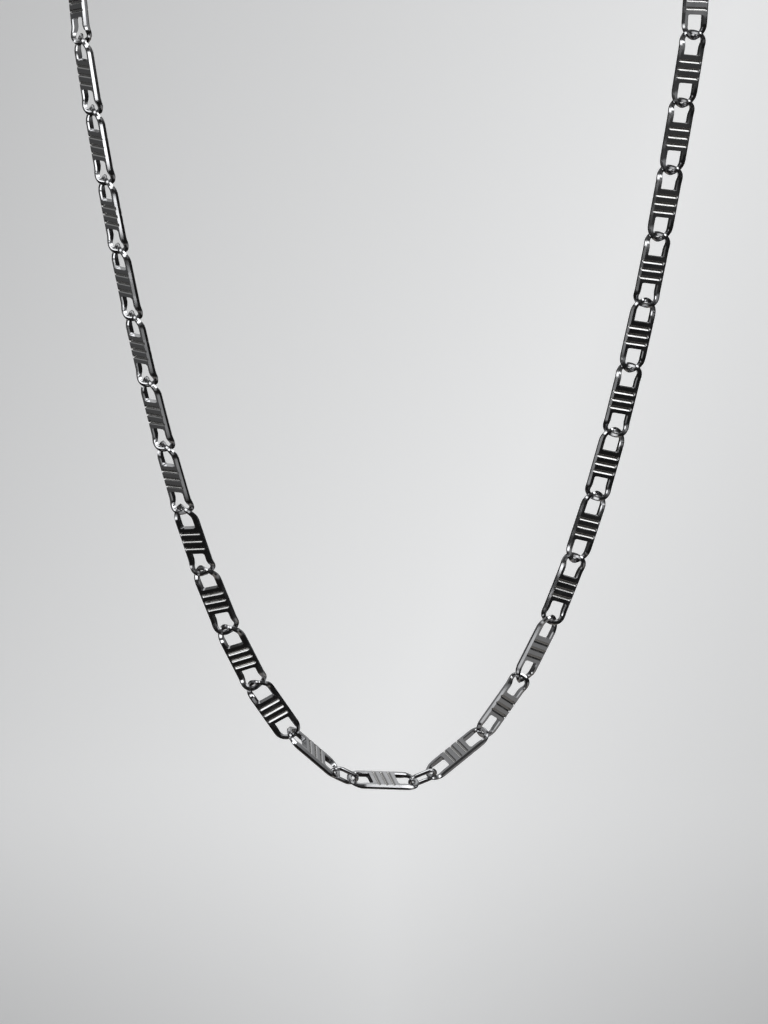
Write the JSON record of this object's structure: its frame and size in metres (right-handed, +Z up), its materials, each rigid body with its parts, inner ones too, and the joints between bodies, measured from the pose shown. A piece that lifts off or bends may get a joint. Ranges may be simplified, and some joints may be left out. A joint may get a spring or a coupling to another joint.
{
  "type": "rail link chain",
  "caption": "Necklace of flat, slotted rail links that interlock end to end, hanging in a U, with small rings by the front link and a plain clasp.",
  "frame": {"origin": "inner face of the clasp at the nape, where the necklace rests on the back of the neck", "axes": "+Z up, -Y to the front, where the chain hangs, +X to the wearer's left"},
  "size_m": [0.1131, 0.0595, 0.1736],
  "materials": {
    "links": "polished",
    "rings": "polished",
    "clasp": "polished"
  },
  "bodies": {
    "root": {"rail_link_01": "links", "rail_link_02": "links", "rail_link_03": "links", "rail_link_04": "links", "rail_link_05": "links", "rail_link_06": "links", "rail_link_07": "links", "rail_link_08": "links", "rail_link_09": "links", "rail_link_10": "links", "rail_link_11": "links", "rail_link_12": "links", "rail_link_13": "links", "rail_link_14": "links", "rail_link_15": "links", "rail_link_16": "links", "rail_link_17": "links", "rail_link_18": "links", "rail_link_19": "links", "rail_link_20": "links", "rail_link_21": "links", "rail_link_22": "links", "rail_link_23": "links", "rail_link_24": "links", "rail_link_25": "links", "rail_link_26": "links", "rail_link_27": "links", "rail_link_28": "links", "rail_link_29": "links", "rail_link_30": "links", "rail_link_31": "links", "rail_link_32": "links", "rail_link_33": "links", "rail_link_34": "links", "rail_link_35": "links", "rail_link_36": "links", "rail_link_37": "links", "rail_link_38": "links", "rail_link_39": "links", "rail_link_40": "links", "rail_link_41": "links", "end_ring_left": "rings", "centre_ring_left": "rings", "centre_ring_right": "rings", "end_ring_right": "rings", "clasp": "clasp"}
  },
  "joints": []
}
